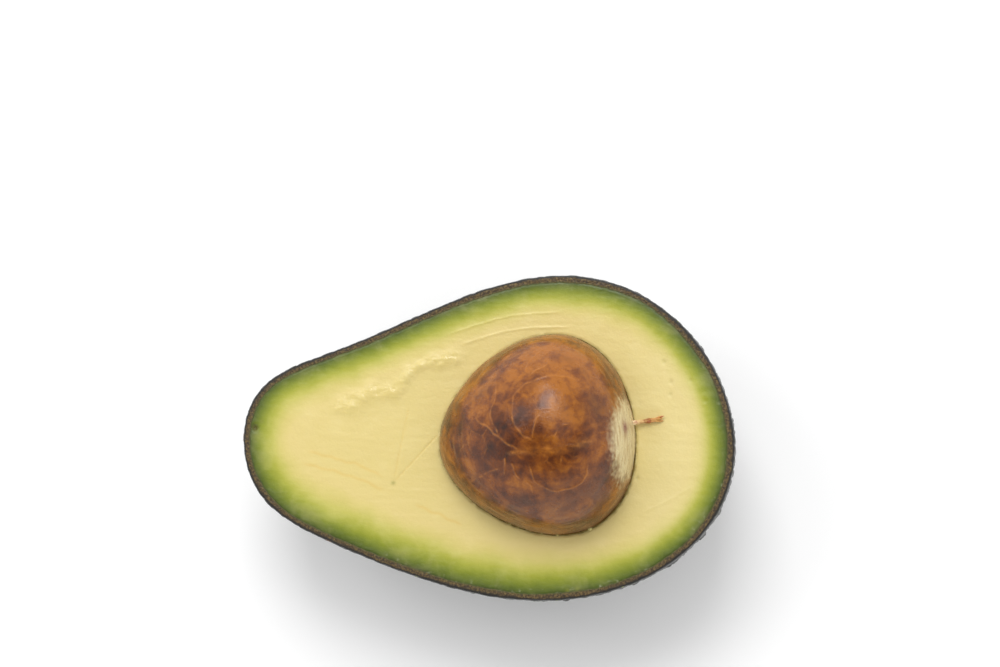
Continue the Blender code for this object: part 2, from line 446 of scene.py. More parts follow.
def peel_material():
    g = Graph("peel_skin", Specular_IOR_Level=0.5, Coat_Weight=0.15, Coat_Roughness=0.3)
    rim = g.attribute("rim")
    pebble = g.attribute("pebble")

    patch = g.noise(9.0, 3.0)
    green = g.mix(g.span(patch, 0.35, 0.65), srgb(34, 35, 31), srgb(42, 47, 29))
    # Partly painted shade: the skin is darker in the creases between the pebbles, and the lower pebbles,
    # chosen at random, are darker too.
    green = g.mix(g.span(pebble, 0.15, 0.9), srgb(17, 19, 14), green)
    purple = g.span(g.noise(6.0, 2.0), 0.52, 0.7)
    green = g.mix(g.math("MULTIPLY", purple, 0.5), green, srgb(44, 34, 34))
    speck = g.span(g.cells(2.1), 0.20, 0.10)
    speck = g.math("MULTIPLY", speck, g.span(g.noise(5.0, 1.0), 0.47, 0.6))
    skin = g.mix(speck, green, srgb(104, 112, 44))
    cork = g.span(g.cells(5.3, place=g.stretch((2.2, 1, 1))), 0.10, 0.05)
    skin = g.mix(g.math("MULTIPLY", cork, 0.7), skin, srgb(120, 88, 62))

    grain = g.noise(0.5, 3.0, 0.65)
    fine = g.noise(0.22, 2.0, 0.6)
    cut = g.ramp(
        grain,
        (0.30, srgb(34, 26, 12)),
        (0.45, srgb(66, 50, 24)),
        (0.58, srgb(98, 78, 40)),
        (0.72, srgb(126, 108, 62)),
    )
    cut = g.mix(g.math("MULTIPLY", g.span(fine, 0.5, 0.7), 0.4), cut, srgb(40, 32, 18))
    olive = g.span(rim, 0.34, 0.05)
    cut = g.mix(g.math("MULTIPLY", olive, 0.55), cut, srgb(78, 80, 30))
    wander = g.math("ADD", rim, g.math("MULTIPLY", g.math("SUBTRACT", g.noise(1.1, 3.0), 0.5), 0.35))
    cut = g.mix(g.span(wander, dark_line_start(g), 0.92), cut, srgb(20, 18, 14))
    colour = g.mix(g.span(rim, 0.98, 1.03), cut, skin)
    roughness = g.mix(g.span(rim, 0.9, 1.02), (0.75,) * 3, (0.34,) * 3)
    roughness = g.math("ADD", roughness, g.math("MULTIPLY", g.math("SUBTRACT", g.noise(1.2, 3.0), 0.5), 0.25))
    height = g.math("ADD", g.math("MULTIPLY", g.noise(0.35, 4.0, 0.6), 0.7), g.math("MULTIPLY", fine, 0.3))
    return g.finish(colour, roughness, height, 0.10, 0.55)


def dark_line_start(g):
    """Where the dark outer line of the cut skin begins, which wanders along the rim."""
    return g.span(g.noise(14.0, 1.0), 0.4, 0.6, 0.42, 0.74)


def flesh_material():
    g = Graph(
        "flesh_pulp",
        Specular_IOR_Level=0.42,
        Subsurface_Weight=0.06,
        Subsurface_Scale=0.0015,
    )
    g.put(g.shader.inputs["Subsurface Radius"], (1.0, 0.8, 0.35))
    tone = g.attribute("tone")
    wobble = g.math("MULTIPLY", g.math("SUBTRACT", g.noise(2.4, 4.0, 0.6), 0.5), 0.12)
    tone = g.math("ADD", tone, wobble)
    flesh = g.ramp(
        tone,
        (0.00, srgb(62, 74, 18)),
        (0.08, srgb(84, 98, 20)),
        (0.18, srgb(108, 120, 26)),
        (0.30, srgb(136, 144, 38)),
        (0.44, srgb(164, 165, 58)),
        (0.58, srgb(188, 182, 88)),
        (0.74, srgb(204, 190, 110)),
        (0.88, srgb(211, 194, 120)),
        (1.00, srgb(215, 196, 127)),
    )
    pale = g.attribute("pale")
    flesh = g.mix(pale, flesh, srgb(222, 206, 146))
    cream = g.span(g.noise(7.0, 3.0, 0.55, 0.6), 0.45, 0.75)
    flesh = g.mix(g.math("MULTIPLY", cream, 0.30), flesh, g.mix(0.4, flesh, srgb(232, 218, 160)))
    vessel = g.attribute("vessel")
    flesh = g.mix(vessel, flesh, srgb(212, 176, 84))
    stain = g.attribute("stain")
    flesh = g.mix(stain, flesh, srgb(126, 128, 44))
    fleck = g.attribute("fleck")
    flesh = g.mix(fleck, flesh, srgb(228, 226, 188))
    # Painted shade: the socket attribute darkens the flesh towards dark olive on the crevice walls, beside
    # the seed and in the stem notch.
    shade = g.attribute("socket")
    flesh = g.mix(shade, flesh, srgb(96, 88, 34))
    roughness = g.math("ADD", 0.30, g.math("MULTIPLY", g.noise(1.6, 4.0, 0.6), 0.25))
    wet = g.math("MULTIPLY", g.attribute("wet"), 0.28)
    roughness = g.math("SUBTRACT", roughness, wet)
    height = g.noise(0.7, 4.0, 0.7)
    return g.finish(flesh, roughness, height, 0.09, 0.7)


def seed_material():
    g = Graph("seed_coat", Specular_IOR_Level=0.38)
    # Random warm patches, plus painted light: the +Y side of the seed comes out lighter and more orange.
    warm = g.attribute("warm")
    blotch = g.span(g.noise(3.0, 5.0, 0.6, 0.35), 0.18, 0.82)
    colour = g.ramp(
        g.math("ADD", g.math("MULTIPLY", blotch, 0.6), g.math("MULTIPLY", warm, 0.5)),
        (0.20, srgb(50, 20, 2)),
        (0.40, srgb(80, 35, 1)),
        (0.60, srgb(114, 58, 2)),
        (0.85, srgb(154, 90, 12)),
    )
    dark = g.attribute("dark")
    colour = g.mix(g.math("MULTIPLY", dark, 0.6), colour, srgb(66, 32, 10))
    # Painted reflection of the pale surroundings: a duller grey-brown over the seed's lower right and its low
    # flanks.
    bloom = g.attribute("bloom")
    bloom = g.math("MULTIPLY", bloom, g.span(g.noise(1.6, 4.0, 0.6), 0.25, 0.75, 0.5, 1.0))
    colour = g.mix(g.math("MULTIPLY", bloom, 0.8), colour, srgb(112, 76, 52))
    streak = g.attribute("streak")
    colour = g.mix(g.math("MULTIPLY", streak, 0.5), colour, srgb(156, 116, 72))
    vein = g.attribute("vein")
    broken = g.span(g.noise(1.3, 3.0, 0.6), 0.35, 0.62, 0.2, 0.6)
    colour = g.mix(g.math("MULTIPLY", vein, broken), colour, srgb(186, 118, 46))
    hilum = g.attribute("hilum")
    fibres = g.noise(0.7, 3.0, place=g.stretch((1, 5, 1)))
    pale = g.mix(g.span(fibres, 0.4, 0.7), srgb(206, 190, 148), srgb(176, 150, 108))
    colour = g.mix(hilum, colour, pale)
    colour = g.mix(g.attribute("spot"), colour, srgb(120, 72, 74))
    roughness = g.math("ADD", 0.18, g.math("MULTIPLY", g.noise(1.4, 5.0, 0.65), 0.22))
    height = g.noise(0.5, 4.0, 0.6)
    return g.finish(colour, roughness, height, 0.07, 0.6)


def strand_material():
    g = Graph("strand_fibre", Specular_IOR_Level=0.4)
    along = g.attribute("along")
    colour = g.ramp(
        g.math("ADD", along, g.math("MULTIPLY", g.math("SUBTRACT", g.noise(0.6, 3.0), 0.5), 0.5)),
        (0.0, srgb(226, 206, 164)),
        (0.3, srgb(206, 166, 108)),
        (0.5, srgb(150, 86, 36)),
        (0.7, srgb(206, 156, 86)),
        (1.0, srgb(196, 136, 66)),
    )
    streak = g.noise(0.4, 2.0, place=g.stretch((6, 1, 1)))
    colour = g.mix(g.span(streak, 0.55, 0.68, 0.0, 0.7), colour, srgb(176, 96, 84))
    return g.finish(colour, 0.6, streak, 0.08, 0.5)


def scar_material():
    g = Graph("scar_cork", Specular_IOR_Level=0.3)
    colour = g.ramp(
        g.noise(0.9, 5.0, 0.65, 0.4),
        (0.30, srgb(44, 28, 20)),
        (0.45, srgb(82, 58, 40)),
        (0.60, srgb(122, 92, 66)),
        (0.75, srgb(158, 128, 96)),
    )
    return g.finish(colour, 0.8, g.noise(0.4, 4.0, 0.6), 0.15, 0.8)


# ---------------------------------------------------------------- curves drawn on the surfaces

def bend_through(knots, step=0.25):
    """A smooth line through a few knots."""
    knots = np.asarray(knots, float)
    padded = np.vstack([2 * knots[0] - knots[1], knots, 2 * knots[-1] - knots[-2]])
    line = []
    for k in range(1, len(padded) - 2):
        before, start, end, after = padded[k - 1 : k + 3]
        count = max(2, int(np.linalg.norm(end - start) / step))
        t = (np.arange(count) / count)[:, None]
        line.append(
            0.5
            * (
                2 * start
                + (end - before) * t
                + (2 * before - 5 * start + 4 * end - after) * t**2
                + (3 * start - 3 * end + after - before) * t**3
            )
        )
    return np.vstack([*line, knots[-1:]])


def distance_to(points, line):
    """Distance from each point to the nearest stretch of a line, and how far along that is, from 0 to 1."""
    best = np.full(len(points), 1e9)
    where = np.zeros(len(points))
    spans = np.linalg.norm(np.diff(line, axis=0), axis=1)
    run = np.concatenate([[0], np.cumsum(spans)])
    for k in range(len(line) - 1):
        side = line[k + 1] - line[k]
        share = np.clip((points - line[k]) @ side / max(side @ side, 1e-12), 0, 1)
        gap = np.linalg.norm(points - line[k] - share[:, None] * side, axis=1)
        closer = gap < best
        best = np.where(closer, gap, best)
        where = np.where(closer, (run[k] + share * spans[k]) / run[-1], where)
    return best, where


def stroke(points, knots, width, wander=0.0, seed=0, reach_out=3.0):
    """A soft mark of this half width along a line through the knots, fading at both ends."""
    line = bend_through(knots)
    if wander:
        full = np.column_stack([line, np.zeros((len(line), 3 - line.shape[1]))])
        for axis in range(line.shape[1]):
            line[:, axis] += wander * noise(full, 2.5, seed + axis)
    low, high = line.min(0) - reach_out * width, line.max(0) + reach_out * width
    close = np.all((points > low) & (points < high), axis=1)
    mark = np.zeros(len(points))
    if close.any():
        gap, where = distance_to(points[close], line)
        fade = smooth(where, -0.01, 0.12) * smooth(where, 1.01, 0.88)
        mark[close] = np.exp(-((gap / width) ** 2)) * fade
    return mark


# ---------------------------------------------------------------- the boundary between peel and flesh

def heading_noise(points, size, seed):
    return noise(points * (1, 1, 0), size, seed)


def boundary(count):
    """The line on the cut where the peel meets the flesh, and where it meets the outside."""
    outer, _ = even_ring(FRUIT, FRUIT_ORIGIN, 0.0, count)
    ahead, behind = np.roll(outer, -1, axis=0), np.roll(outer, 1, axis=0)
    along = (ahead - behind) / np.linalg.norm(ahead - behind, axis=1)[:, None]
    inward = np.column_stack([-along[:, 1], along[:, 0], np.zeros(count)])
    width = PEEL_THICKNESS * (0.86 + 0.12 * heading_noise(outer, 9.0, 5))
    width += 0.13 * heading_noise(outer, 1.3, 6)
    inner = outer + inward * width[:, None]
    inner[:, 2] = CUT_Z - RIM_DROP + 0.05 * heading_noise(inner, 1.0, 7)
    return inner, outer


# ---------------------------------------------------------------- peel

def skin_height(points):
    """How far the pebbled skin stands off the fruit's smooth body, and the pebbles' height from 0 to 1."""
    warp = np.stack([noise(points, 3.2, seed) for seed in (11, 12, 13)], axis=1) * 0.7
    first, second, tag = cells((points + warp) / (1.25, 1.0, 1.0), 2.15, 14)
    dome = smooth(second - first, 0.0, 0.45) * (1 - 0.55 * np.minimum(first, 1.0) ** 2)
    pebble = dome * (0.45 + 0.55 * tag)
    minor, minor_second, _ = cells(points + 0.4 * warp, 0.95, 15)
    small = smooth(minor_second - minor, 0.0, 0.5)
    swell = noise(points, (13.0, 10.0, 10.0), 16)
    wrinkle = fbm(points + warp, (1.6, 0.8, 0.8), 18, 3)
    height = PEBBLE_HEIGHT * (pebble - 0.42) + SMALL_PEBBLE_HEIGHT * small
    height += SWELL_HEIGHT * swell + WRINKLE_HEIGHT * wrinkle
    return height, pebble


def make_peel():
    inside = fruit_body(PEEL_THICKNESS)
    inner, outer = boundary(RIM_COUNT)
    rings = [pole(inside, FRUIT_ORIGIN, -math.pi / 2)]
    rim = [np.full(1, -1.0)]
    for elevation in np.radians(np.linspace(-86, -3, 26)):
        rings.append(ring_of_step(inside, FRUIT_ORIGIN, elevation, HIDDEN_STEP))
        rim.append(np.full(len(rings[-1]), -1.0))
    for row in range(RIM_ROWS + 1):
        share = row / RIM_ROWS
        rings.append(inner + (outer - inner) * share)
        rim.append(np.full(RIM_COUNT, share))
    skin_from = sum(len(ring) for ring in rings) - RIM_COUNT
    elevation, rows = 0.0, 0
    while elevation > -math.radians(88.6):
        elevation -= min(SKIN_STEP, 0.12 + 0.06 * rows) / FRUIT_RADIUS
        rows += 1
        rings.append(ring_of_step(FRUIT, FRUIT_ORIGIN, elevation, SKIN_STEP))
        rim.append(np.full(len(rings[-1]), 1.0))
    rings.append(pole(FRUIT, FRUIT_ORIGIN, -math.pi / 2))
    rim.append(np.full(1, 1.0))
    faces = shell(rings)
    points = np.concatenate(rings)
    rim = np.concatenate(rim)

    normal = normals_of(points, faces)
    below = CUT_Z - points[:, 2]
    is_skin = np.arange(len(points)) >= skin_from
    normal[:, 2] *= np.where(is_skin, smooth(below, 0.0, 2.0), 0.0)
    normal /= np.maximum(np.linalg.norm(normal, axis=1), 1e-9)[:, None]
    base = points.copy()
    height, pebble = skin_height(base[skin_from:])
    height = height * (CALM_SHARE + (1 - CALM_SHARE) * smooth(below[skin_from:], 0.5, 6.0))
    moved = points[skin_from:] + normal[skin_from:] * height[:, None]
    corner = smooth(below[skin_from:], 0.45, 0.0)
    moved -= normal[skin_from:] * (RIM_ROUNDING_IN * corner)[:, None]
    moved[:, 2] -= RIM_ROUNDING_DOWN * corner
    points[skin_from:] = moved

    # The rim rows follow the moved outer edge, and the cut through the skin is grainy.
    edge = points[skin_from : skin_from + RIM_COUNT]
    rim_from = skin_from - RIM_COUNT * RIM_ROWS
    for row in range(1, RIM_ROWS):
        share = row / RIM_ROWS
        rows_at = slice(rim_from + row * RIM_COUNT, rim_from + (row + 1) * RIM_COUNT)
        level = inner + (edge - inner) * share
        grain = fbm(level, 0.55, 21, 3)
        rounding = RIM_ROUNDING_DOWN * smooth(share, 0.75, 1.0)
        level[:, 2] = CUT_Z - RIM_DROP + RIM_GRAIN * grain + 0.05 * (inner[:, 2] - CUT_Z) - rounding
        points[rows_at] = level
    points[:, 2] = np.maximum(points[:, 2], 0.0)

    tall = np.zeros(len(points))
    tall[skin_from:] = pebble
    depth = np.where(is_skin, np.clip(below / 2.0, 0, 1), 0.0)
    return make_piece(
        "peel_skin", points, faces, peel_material(), "peel_skin", "peel", rim=rim + depth, pebble=tall
    )


# ---------------------------------------------------------------- flesh

def gap_round_seed(heading):
    """How wide the crevice between the seed and the flesh is: tight above, open on the lower side."""
    open_side = smooth(np.cos(heading - math.radians(-62)), 0.1, 1.0)
    left = smooth(np.cos(heading - math.radians(-150)), 0.3, 1.0)
    return 0.04 + 0.24 * open_side + 0.05 * left


def socket_line(heading):
    ring = seed_reach(compass(heading, 0.0))
    ragged = 0.09 * noise(ring, 1.2, 31) + 0.09 * noise(ring, 3.0, 32)
    away = np.maximum(gap_round_seed(heading) + ragged, 0.03)
    return ring + compass(heading, 0.0) * away[:, None]


def nearest_gap(points, line):
    """Distance from each point to a dense closed line."""
    best = np.empty(len(points))
    for start in range(0, len(points), 4000):
        block = points[start : start + 4000, None, :2] - line[None, :, :2]
        best[start : start + 4000] = np.sqrt(np.min(np.sum(block**2, axis=2), axis=1))
    return best


RIDGES = (((-32, 3.5), (-25, 6.5), (-19, 8.5), (-15, 13), (-4.5, 16)),)
KNIFE_ARCS = (
    ((-6.5, 18), (5, 21.5), (16.5, 22.5)),
    ((-9, 20), (3, 24), (15, 25.5)),
    ((32, -14.5), (37, -12), (42.5, -8.5)),
)
SCRATCHES = (((-18.5, -10.5), (-9.5, 0)), ((-18.5, -10.5), (-16, 5.5)))
VESSELS = (
    ((-37, -4.5), (-31, -6), (-25, -7.5), (-20.5, -9.5)),
    ((-38, -7), (-29, -9), (-19.5, -12)),
    ((-14, -14.5), (-9, -16.5), (-3.5, -18.5)),
)
PITS = ((35.5, 16), (37, 12), (37, 9.5), (41, 12.5), (44, 8.5), (31, -7.5))
GREEN_SPOTS = ((-18.5, -10.5), (-46.5, 1.0), (18, -30.5), (20, -30))
STEM_NOTCH = np.array([-47.9, -0.4])


def make_flesh():
    inner, _ = boundary(RIM_COUNT)
    toward = inner - SEED_CENTRE
    heading = np.unwrap(np.arctan2(toward[:, 1], toward[:, 0]))
    socket = socket_line(heading)
    socket[:, 2] = CUT_Z
    loop = np.arange(RIM_COUNT + 1) / RIM_COUNT

    def along(line, count):
        closed = np.vstack([line, line[:1]])
        at = np.arange(count) / count
        return np.stack([np.interp(at, loop, closed[:, k]) for k in range(3)], axis=1)

    rings = [np.array([[SEED_CENTRE[0], SEED_CENTRE[1], SEED_LOW_Z - 0.4]])]
    part = [np.full(1, -1.0)]
    for depth_angle in (70, 55, 42, 30, 22, 16, 11, 7, 4.5, 2.6, 1.2):
        angle = math.radians(depth_angle)
        count = 420 if depth_angle < 20 else 120
        ring = along(socket, count)
        out = ring - SEED_CENTRE
        turn = np.arctan2(out[:, 1], out[:, 0])
        spread = np.linalg.norm(out[:, :2], axis=1) / np.linalg.norm(
            (seed_reach(compass(turn, 0.0)) - SEED_CENTRE)[:, :2], axis=1
        )
        wall = seed_reach(compass(turn, -angle)) - SEED_CENTRE
        rings.append(SEED_CENTRE + wall * (1 + (spread - 1) * math.cos(angle) + 0.012)[:, None])
        part.append(np.full(count, -1.0))
    for row in range(FLESH_ROWS + 1):
        share = row / FLESH_ROWS
        eased = share - 0.30 * math.sin(2 * math.pi * share) / (2 * math.pi)
        count = round(440 + (RIM_COUNT - 440) * min(1.0, share * 1.05))
        low, high = along(socket, count), along(inner, count)
        rings.append(low + (high - low) * eased)
        part.append(np.full(count, eased))
    hull = fruit_body(PEEL_THICKNESS + 0.05)
    for elevation in np.radians([-1.5, -4, -8, -14, -21, -29, -38, -47, -57, -67, -77, -85]):
        rings.append(ring_of_step(hull, FRUIT_ORIGIN, elevation, HIDDEN_STEP))
        part.append(np.full(len(rings[-1]), 2.0))
    rings.append(pole(hull, FRUIT_ORIGIN, -math.pi / 2))
    part.append(np.full(1, 2.0))
    faces = shell(rings)
    points = np.concatenate(rings)
    part = np.concatenate(part)
    top = (part >= 0) & (part <= 1)

    flat = points[top].copy()
    flat[:, 2] = 0.0
    spots = flat[:, :2]
    to_rim = nearest_gap(flat, inner)
    to_seed = nearest_gap(flat, socket)
    turn = np.arctan2(flat[:, 1], flat[:, 0])

    ridge = sum(stroke(spots, line, 1.5, 1.6, 40) for line in RIDGES)
    arcs = sum(stroke(spots, line, 0.28, 0.1, 44) for line in KNIFE_ARCS)
    scratch = sum(stroke(spots, line, 0.16) for line in SCRATCHES)
    vessel = sum(stroke(spots, line, 0.30, 0.5, 47) for line in VESSELS)
    pit = sum(np.exp(-(((spots - spot) ** 2).sum(1)) / 0.45**2) for spot in np.array(PITS))
    green = sum(np.exp(-(((spots - spot) ** 2).sum(1)) / 0.40**2) for spot in np.array(GREEN_SPOTS))

    drag = noise(flat, (9.0, 1.1, 1.0), 50)
    height = FLESH_SWELL * noise(flat, 7.0, 51) + FLESH_LUMPS * fbm(flat, (2.6, 1.6, 1.0), 52)
    height += FLESH_DRAG * drag
    height += RIDGE_HEIGHT * ridge * (1 + 0.9 * fbm(flat, 2.2, 53, 3)) + ARC_HEIGHT * arcs
    height -= SCRATCH_DEPTH * scratch + PIT_DEPTH * pit
    lumps = smooth(noise(flat, 0.8, 54), 0.25, 0.7)
    near_rim = smooth(to_rim, 1.4, 0.1)
    height += 0.05 * near_rim * lumps
    height -= 0.12 * smooth(to_seed, 0.6, 0.0) * (1 + noise(flat, 1.0, 55))
    notch = np.exp(-(((spots - STEM_NOTCH) ** 2).sum(1)) / 0.6**2)
    height -= NOTCH_DEPTH * notch
    settle = smooth(to_rim, 0.0, 0.45)
    level = CUT_Z + height
    points[top, 2] = points[top, 2] * (1 - settle) + level * settle

    # The green is broader on the -Y side and round the neck than by the seed's far side.
    lower = smooth(np.cos(turn - math.radians(-115)), -0.2, 0.9)
    broad = GREEN_WIDTH + GREEN_WIDTH_LOWER * lower
    tone = to_rim / broad * (1 + 0.10 * noise(flat, 5.0, 56))
    pale = 0.45 * smooth(flat[:, 0], 28, 38) * smooth(to_rim, 3.0, 6.0)
    fleck = near_rim * smooth(fbm(flat, 1.1, 57, 3), 0.2, 0.7) * smooth(np.cos(turn + 1.1), -0.2, 0.8)

    # Painted shade: darker flesh close to the crevice round the seed and in the stem notch.
    painted_shade = np.maximum(0.5 * smooth(to_seed, 0.35, 0.0), 0.95 * notch)

    def spread_out(values, elsewhere=0.0):
        full = np.full(len(points), elsewhere)
        full[top] = values
        return full

    return make_piece(
        "flesh_pulp",
        points,
        faces,
        flesh_material(),
        "flesh_pulp",
        "flesh",
        tone=spread_out(np.clip(tone, 0, 1), 0.5),
        pale=spread_out(pale),
        vessel=spread_out(0.35 * np.clip(vessel, 0, 1) + 0.25 * np.clip(scratch, 0, 1)),
        stain=spread_out(np.clip(0.6 * green + 0.12 * pit, 0, 1)),
        wet=spread_out(np.clip(ridge + 0.5 * arcs, 0, 1)),
        fleck=spread_out(0.30 * fleck),
        # The socket attribute carries painted shade: 0.9 on the crevice walls round the seed, and elsewhere
        # the shade worked out above.
        socket=np.where(part < 0, 0.9, spread_out(painted_shade)),
    )


def make_crevice_film():
    """A torn film of flesh that bridges the crevice round the seed, with a few chips standing out of it. Its
    dark olive colour and dark brown blotches are painted shade of the crevice, and the chips are pale flesh.
    """
    heading = (np.arange(FILM_COUNT) + 0.5) / FILM_COUNT * 2 * math.pi
    ring = seed_reach(compass(heading, 0.0))
    away = socket_line(heading) - ring
    wide = np.linalg.norm(away, axis=1)
    outward = compass(heading, 0.0)
    chips = smooth(fbm(ring, 1.9, 61, 3), 0.05, 0.5) * smooth(np.cos(heading - math.radians(-95)), 0.1, 0.8)
    middle = ring + outward * (0.5 * wide)[:, None]
    half = 0.5 * wide + 0.10 + 0.16 * chips
    top = CUT_Z - 0.14 + 0.08 * noise(ring, 0.9, 62) + 0.20 * chips
    rings = []
    for across, drop in ((-1.0, 0.45), (-0.9, 0.12), (-0.35, 0.0), (0.35, 0.0), (0.9, 0.12), (1.0, 0.45)):
        line = middle + outward * (half * across)[:, None]
        line[:, 2] = top - drop + 0.05 * noise(line, 0.4, 63)
        rings.append(line)
    count = len(rings)
    faces = []
    for row in range(count):
        here, after = row * FILM_COUNT, (row + 1) % count * FILM_COUNT
        for k in range(FILM_COUNT):
            step = (k + 1) % FILM_COUNT
            faces.append((here + k, after + k, after + step))
            faces.append((here + k, after + step, here + step))
    g = Graph("crevice_film", Specular_IOR_Level=0.4)
    # Painted shade of the crevice: a dark olive base with dark brown blotches. Only the chips have the pale
    # flesh colour.
    colour = g.mix(g.attribute("chip"), srgb(128, 108, 44), srgb(206, 194, 122))
    colour = g.mix(g.span(g.noise(0.7, 4.0, 0.6), 0.5, 0.75), colour, srgb(78, 58, 20))
    roughness = g.math("ADD", 0.3, g.math("MULTIPLY", g.noise(1.0), 0.3))
    return make_piece(
        "crevice_film",
        np.concatenate(rings),
        np.array(faces),
        g.finish(colour, roughness, g.noise(0.4, 3.0, 0.6), 0.05, 0.5),
        "flesh_pulp",
        "flesh",
        chip=np.tile(chips, count),
    )


# ---------------------------------------------------------------- seed

SEED_VEINS = (
    (0.26, (-1, -3.5), (-5.5, -1), (-7, 0.5), (-10, 2), (-11, 4.5)),
    (0.20, (-5, -1), (-7, 3), (-6.5, 7.5), (-7, 11)),
    (0.24, (2, -2), (-1.5, 0.5), (-3, 4.5), (-2, 8), (0.5, 10), (5, 11.5), (8.5, 11), (11, 9.5)),
    (0.20, (-1, 10.5), (1, 12), (4, 14)),
    (0.14, (1.5, -1.5), (2, 1.5), (3, 4)),
    (0.14, (6, -1), (7, 1.5), (9.5, 2)),
    (0.20, (-2.5, -6), (-1.5, -8.5), (1, -10), (2, -12)),
    (0.18, (1, -5.5), (2, -9), (4, -10.5), (6.5, -11), (10, -10), (12, -8), (12, -4)),
    (0.16, (7.5, -4), (7, -6.5), (5, -7.5)),
    (0.20, (-4, -5), (-4, -8.5)),
    (0.16, (-5, -7), (-8.5, -8.5), (-12.5, -10)),
)
MAIN_VEIN = ((14.5, -0.5), (10, -2), (5.5, -3), (0.5, -3.5), (-4.5, -4.5))


def on_seed_top(knots):
    """Lifts places given from above, relative to the seed's centre, onto the seed's upper side."""
    line = bend_through(knots, 0.4)
    line = turned(np.column_stack([line, 0 * line[:, 0]]), -SEED_TURN)
    radius = np.interp(line[:, 0], SEED[0], SEED[3])
    line[:, 2] = np.sqrt(np.maximum(radius**2 - line[:, 1] ** 2, 0.5))
    return turned(line, SEED_TURN)


def line_mark(points, line, width, wander, seed):
    line = line.copy()
    for axis in range(3):
        line[:, axis] += wander * noise(line, 2.0, seed + axis)
    close = np.all((points > line.min(0) - 3 * width) & (points < line.max(0) + 3 * width), axis=1)
    mark = np.zeros(len(points))
    if close.any():
        gap, where = distance_to(points[close], line)
        fade = smooth(where, -0.01, 0.06) * smooth(where, 1.01, 0.80)
        mark[close] = np.exp(-((gap / width) ** 2)) * fade
    return mark


def make_seed():
    centre = np.zeros(3)
    rings = [pole(SEED, centre, math.pi / 2)]
    elevation = math.pi / 2
    while elevation > -math.radians(24):
        elevation -= SEED_STEP / SEED_RADIUS
        rings.append(ring_of_step(SEED, centre, elevation, SEED_STEP if elevation > -0.1 else 0.4))
    for degrees in (-28, -34, -41, -49, -57, -66, -76, -84):
        rings.append(ring_of_step(SEED, centre, math.radians(degrees), HIDDEN_STEP))
    rings.append(pole(SEED, centre, -math.pi / 2))
    faces = shell(rings)
    points = turned(np.concatenate(rings), SEED_TURN) + SEED_CENTRE
    normal = normals_of(points, faces)
    q = points - SEED_CENTRE

    vein = np.zeros(len(q))
    for k, (width, *knots) in enumerate(SEED_VEINS):
        vein = np.maximum(vein, line_mark(q, on_seed_top(knots), 0.45 * width + 0.07, 0.32, 60 + 3 * k))
    main = on_seed_top(MAIN_VEIN)
    gap, where = distance_to(q, main)
    swell = 0.3 + 0.6 * np.sin(math.pi * np.clip(where, 0, 1) ** 0.8)
    frayed = noise(q, (3.0, 0.7, 1.5), 90)
    band = np.exp(-((gap / swell) ** 2)) * smooth(where, 0.0, 0.1) * smooth(where, 1.01, 0.85)
    vein = np.maximum(vein, band * (0.35 + 0.65 * smooth(frayed, -0.4, 0.4)))
    warp = np.stack([noise(q, 3.0, seed) for seed in (91, 92, 93)], axis=1)
    web_first, web_second, _ = cells(q + 0.9 * warp, 5.5, 94)
    web = smooth(web_second - web_first, 0.045, 0.0) * smooth(noise(q, 6.0, 95), 0.0, 0.5)
    vein = np.maximum(vein, 0.5 * web)

    # Pale patch where the strand joined, on the blunt end.
    rise = np.arctan2(q[:, 2], q[:, 0])
    patch = np.hypot((q[:, 1] + 0.2) / 9.0, (rise - math.radians(16)) / math.radians(25))
    fringe = noise(q, (4.0, 0.7, 0.7), 96) + 0.6 * noise(q, 2.2, 104)
    hilum = smooth(patch + 0.13 * fringe, 1.12, 0.66) * (q[:, 0] > 5)
    spot = np.exp(-(((q - (19.0, 2.2, 8.0)) ** 2).sum(1)) / 1.3**2)

    ringwise = noise(np.column_stack([q[:, 0] * 0.25, q[:, 1] * 0.25, q[:, 2]]), (1.6, 1.6, 0.5), 97)
    flank = smooth(q[:, 2], 15.0, 6.0)
    streak = smooth(ringwise, -0.1, 0.6) * flank * smooth(noise(q, 5.0, 98), -0.7, 0.3)
    # Random warm patches, plus painted light: the +Y side, towards the lights, is lighter and more orange.
    warm = 0.5 + 0.5 * noise(q, 9.0, 99) + 0.35 * smooth(q[:, 1], 0.0, 8.0)
    # Painted reflection of the pale surroundings, on the lower right and on the low flanks next to the cut.
    bloom = 0.85 * smooth(-q[:, 1] + 0.45 * q[:, 0], 9.0, 17.0) * smooth(noise(q, 4.0, 100), -0.9, 0.6)
    bloom = np.maximum(bloom, 0.6 * smooth(q[:, 2], 7.0, 1.0))
    dark = 0.75 * smooth(fbm(q, 5.0, 101), 0.0, 0.8)
    dark += 0.9 * np.exp(-(((q - (13.0, 5.0, 14.0)) ** 2).sum(1)) / 4.0**2)

    height = SEED_SWELL * noise(q, 6.0, 102) + SEED_LUMPS * fbm(q, 1.6, 103)
    height += VEIN_HEIGHT * vein + STREAK_HEIGHT * streak - HILUM_DEPTH * hilum
    points = points + normal * height[:, None]
    return make_piece(
        "seed_coat",
        points,
        faces,
        seed_material(),
        "seed_coat",
        "seed",
        vein=np.clip(vein, 0, 1),
        warm=np.clip(warm, 0, 1),
        bloom=np.clip(bloom, 0, 1),
        dark=np.clip(dark, 0, 1),
        streak=np.clip(streak, 0, 1),
        hilum=np.clip(hilum, 0, 1),
        spot=np.clip(spot, 0, 1),
    )


# ---------------------------------------------------------------- strand and scar

def tube(line, radii, sides=10, seed=0):
    """A closed tube of uneven thickness along a line."""
    rings = [line[:1]]
    turn = np.arange(sides) / sides * 2 * math.pi
    for k in range(len(line)):
        ahead = line[min(k + 1, len(line) - 1)] - line[max(k - 1, 0)]
        ahead = ahead / np.linalg.norm(ahead)
        side = np.cross(ahead, (0, 0, 1.0))
        side /= np.linalg.norm(side)
        over = np.cross(side, ahead)
        circle = np.cos(turn)[:, None] * side - np.sin(turn)[:, None] * over
        lump = 1 + 0.22 * noise(line[k] + circle * radii[k], 0.5, seed)
        rings.append(line[k] + circle * (radii[k] * lump)[:, None])
    rings.append(line[-1:])
    return np.concatenate(rings), shell(rings)


